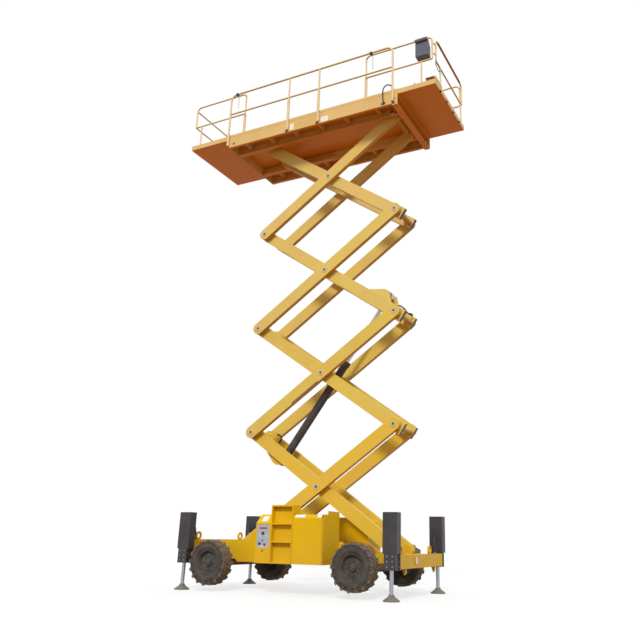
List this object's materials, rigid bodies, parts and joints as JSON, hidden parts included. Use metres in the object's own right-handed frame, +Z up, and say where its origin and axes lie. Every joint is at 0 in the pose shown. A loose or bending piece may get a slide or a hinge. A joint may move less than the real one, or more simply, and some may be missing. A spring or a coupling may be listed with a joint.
{
  "type": "scissor lift",
  "caption": "Rough-terrain scissor lift with a tall stack of crossed arms, a long guard-railed platform with sliding extension decks, black outriggers and steering wheels.",
  "frame": {"origin": "on the ground, under the middle of the machine's length and width, with the outriggers down", "axes": "+X to the front (steering end), +Y to the machine's left, +Z up"},
  "size_m": [5.786, 2.2838, 10.1967],
  "materials": {
    "machine_paint": "semi-gloss yellow paint",
    "deck_paint": "yellow-orange paint on the platform's steelwork",
    "rail_paint": "pale yellow paint on bent tube",
    "outrigger_paint": "black paint on sheet covers",
    "leg_steel": "plated steel",
    "rod_steel": "hard chrome",
    "barrel_paint": "dark grey paint",
    "axle_iron": "painted casting",
    "tyre_rubber": "matt black rubber",
    "rim_paint": "dark paint",
    "panel_grey": "grey-blue plastic",
    "box_grey": "grey plastic",
    "engine_iron": "painted casting"
  },
  "bodies": {
    "chassis": {"chassis_frame": "machine_paint", "front_crossbeam": "machine_paint", "rear_crossbeam": "machine_paint", "front_axle": "axle_iron", "rear_axle": "axle_iron", "pod_left": "machine_paint", "pod_right": "machine_paint", "lower_console": "machine_paint", "control_panel": "panel_grey", "step_unit": "machine_paint", "engine_block": "engine_iron", "hydraulic_tank": "machine_paint", "outrigger_covers": "outrigger_paint", "outrigger_jacks": "axle_iron"},
    "knuckle_left": {"knuckle_left": "axle_iron"},
    "knuckle_right": {"knuckle_right": "axle_iron"},
    "tie_rod": {"tie_rod": "axle_iron"},
    "wheel_front_right": {"tyre_front_right": "tyre_rubber", "rim_front_right": "rim_paint"},
    "wheel_front_left": {"tyre_front_left": "tyre_rubber", "rim_front_left": "rim_paint"},
    "wheel_rear_right": {"tyre_rear_right": "tyre_rubber", "rim_rear_right": "rim_paint"},
    "wheel_rear_left": {"tyre_rear_left": "tyre_rubber", "rim_rear_left": "rim_paint"},
    "leg_rear_right": {"leg_rear_right": "leg_steel"},
    "leg_front_right": {"leg_front_right": "leg_steel"},
    "leg_rear_left": {"leg_rear_left": "leg_steel"},
    "leg_front_left": {"leg_front_left": "leg_steel"},
    "hood_left": {"hood_left": "machine_paint"},
    "hood_right": {"hood_right": "machine_paint"},
    "inner_arms_1": {"inner_arms_1": "machine_paint"},
    "outer_arms_1": {"outer_arms_1": "machine_paint"},
    "inner_arms_2": {"inner_arms_2": "machine_paint"},
    "outer_arms_2": {"outer_arms_2": "machine_paint"},
    "inner_arms_3": {"inner_arms_3": "machine_paint"},
    "outer_arms_3": {"outer_arms_3": "machine_paint"},
    "inner_arms_4": {"inner_arms_4": "machine_paint"},
    "outer_arms_4": {"outer_arms_4": "machine_paint"},
    "platform": {"platform_frame": "deck_paint", "main_deck": "deck_paint", "main_rails": "rail_paint"},
    "lift_barrel": {"lift_barrel": "barrel_paint"},
    "lift_rod": {"lift_rod": "rod_steel"},
    "extension_rear": {"tray_rear": "deck_paint", "tray_rails_rear": "rail_paint"},
    "extension_front": {"tray_front": "deck_paint", "tray_rails_front": "rail_paint", "upper_control_box": "box_grey"}
  },
  "joints": [
    {"name": "wheel_front_right_spin", "type": "hinge", "parent": "knuckle_right", "child": "wheel_front_right", "pos_m": [1.465, -0.98, 0.46], "axis": [0, 1, 0], "continuous": true},
    {"name": "wheel_front_left_spin", "type": "hinge", "parent": "knuckle_left", "child": "wheel_front_left", "pos_m": [1.465, 0.98, 0.46], "axis": [0, 1, 0], "continuous": true},
    {"name": "wheel_rear_right_spin", "type": "hinge", "parent": "chassis", "child": "wheel_rear_right", "pos_m": [-1.325, -0.98, 0.46], "axis": [0, 1, 0], "continuous": true},
    {"name": "wheel_rear_left_spin", "type": "hinge", "parent": "chassis", "child": "wheel_rear_left", "pos_m": [-1.325, 0.98, 0.46], "axis": [0, 1, 0], "continuous": true},
    {"name": "steer_left", "type": "hinge", "parent": "chassis", "child": "knuckle_left", "pos_m": [1.465, 0.76, 0.46], "axis": [0, 0, 1], "range_deg": [-28, 28]},
    {"name": "steer_right", "type": "hinge", "parent": "chassis", "child": "knuckle_right", "pos_m": [1.465, -0.76, 0.46], "axis": [0, 0, 1], "range_deg": [-28, 28]},
    {"name": "tie_rod_swing", "type": "hinge", "parent": "knuckle_left", "child": "tie_rod", "pos_m": [1.275, 0.76, 0.394], "axis": [0, 0, 1], "range_deg": [-28, 28]},
    {"name": "leg_rear_right_slide", "type": "slide", "parent": "chassis", "child": "leg_rear_right", "axis": [0, 0, 1], "range_m": [-0.1, 0.33]},
    {"name": "leg_front_right_slide", "type": "slide", "parent": "chassis", "child": "leg_front_right", "axis": [0, 0, 1], "range_m": [-0.1, 0.33]},
    {"name": "leg_rear_left_slide", "type": "slide", "parent": "chassis", "child": "leg_rear_left", "axis": [0, 0, 1], "range_m": [-0.1, 0.33]},
    {"name": "leg_front_left_slide", "type": "slide", "parent": "chassis", "child": "leg_front_left", "axis": [0, 0, 1], "range_m": [-0.1, 0.33]},
    {"name": "hood_left_lid", "type": "hinge", "parent": "chassis", "child": "hood_left", "pos_m": [0.3, 0.574, 1.25], "axis": [1, 0, 0], "range_deg": [0, 55]},
    {"name": "hood_right_lid", "type": "hinge", "parent": "chassis", "child": "hood_right", "pos_m": [0.3, -0.574, 1.25], "axis": [-1, 0, 0], "range_deg": [0, 55]},
    {"name": "lift", "type": "hinge", "parent": "chassis", "child": "inner_arms_1", "pos_m": [1.855, 0, 0.72], "axis": [0, 1, 0], "range_deg": [-30.3, 22.1]},
    {"name": "cross_1", "type": "hinge", "parent": "inner_arms_1", "child": "outer_arms_1", "pos_m": [0.38365, 0, 1.74643], "axis": [0, 1, 0], "range_deg": [-44.21, 60.61]},
    {"name": "knee_1", "type": "hinge", "parent": "outer_arms_1", "child": "inner_arms_2", "pos_m": [1.855, 0, 2.77286], "axis": [0, 1, 0], "range_deg": [-60.61, 44.21]},
    {"name": "cross_2", "type": "hinge", "parent": "inner_arms_2", "child": "outer_arms_2", "pos_m": [0.38365, 0, 3.79929], "axis": [0, 1, 0], "range_deg": [-44.21, 60.61]},
    {"name": "knee_2", "type": "hinge", "parent": "outer_arms_2", "child": "inner_arms_3", "pos_m": [1.855, 0, 4.82572], "axis": [0, 1, 0], "range_deg": [-60.61, 44.21]},
    {"name": "cross_3", "type": "hinge", "parent": "inner_arms_3", "child": "outer_arms_3", "pos_m": [0.38365, 0, 5.85215], "axis": [0, 1, 0], "range_deg": [-44.21, 60.61]},
    {"name": "knee_3", "type": "hinge", "parent": "outer_arms_3", "child": "inner_arms_4", "pos_m": [1.855, 0, 6.87858], "axis": [0, 1, 0], "range_deg": [-60.61, 44.21]},
    {"name": "cross_4", "type": "hinge", "parent": "inner_arms_4", "child": "outer_arms_4", "pos_m": [0.38365, 0, 7.90501], "axis": [0, 1, 0], "range_deg": [-44.21, 60.61]},
    {"name": "platform_level", "type": "hinge", "parent": "outer_arms_4", "child": "platform", "pos_m": [1.855, 0, 8.93144], "axis": [0, 1, 0], "range_deg": [-30.31, 22.11]},
    {"name": "barrel_swing", "type": "hinge", "parent": "inner_arms_1", "child": "lift_barrel", "pos_m": [-0.5936, 0, 2.24893], "axis": [0, 1, 0], "range_deg": [-44.21, 60.61]},
    {"name": "lift_rod_slide", "type": "slide", "parent": "lift_barrel", "child": "lift_rod", "axis": [0.5859, 0, 0.8104], "range_m": [-1.1375, 0.8298]},
    {"name": "extension_rear_slide", "type": "slide", "parent": "platform", "child": "extension_rear", "axis": [-1, 0, 0], "range_m": [-1.029, 0]},
    {"name": "extension_front_slide", "type": "slide", "parent": "platform", "child": "extension_front", "axis": [1, 0, 0], "range_m": [-0.772, 0]}
  ],
  "couplings": [
    {"joint": "steer_right", "follows": "steer_left", "ratio": 1},
    {"joint": "tie_rod_swing", "follows": "steer_left", "ratio": -1},
    {"joint": "cross_1", "follows": "lift", "ratio": -2},
    {"joint": "knee_1", "follows": "lift", "ratio": 2},
    {"joint": "cross_2", "follows": "lift", "ratio": -2},
    {"joint": "knee_2", "follows": "lift", "ratio": 2},
    {"joint": "cross_3", "follows": "lift", "ratio": -2},
    {"joint": "knee_3", "follows": "lift", "ratio": 2},
    {"joint": "cross_4", "follows": "lift", "ratio": -2},
    {"joint": "platform_level", "follows": "lift", "ratio": 1},
    {"joint": "barrel_swing", "follows": "lift", "ratio": -2},
    {"joint": "lift_rod_slide", "follows": "lift", "m_per_rad": 2.15}
  ]
}
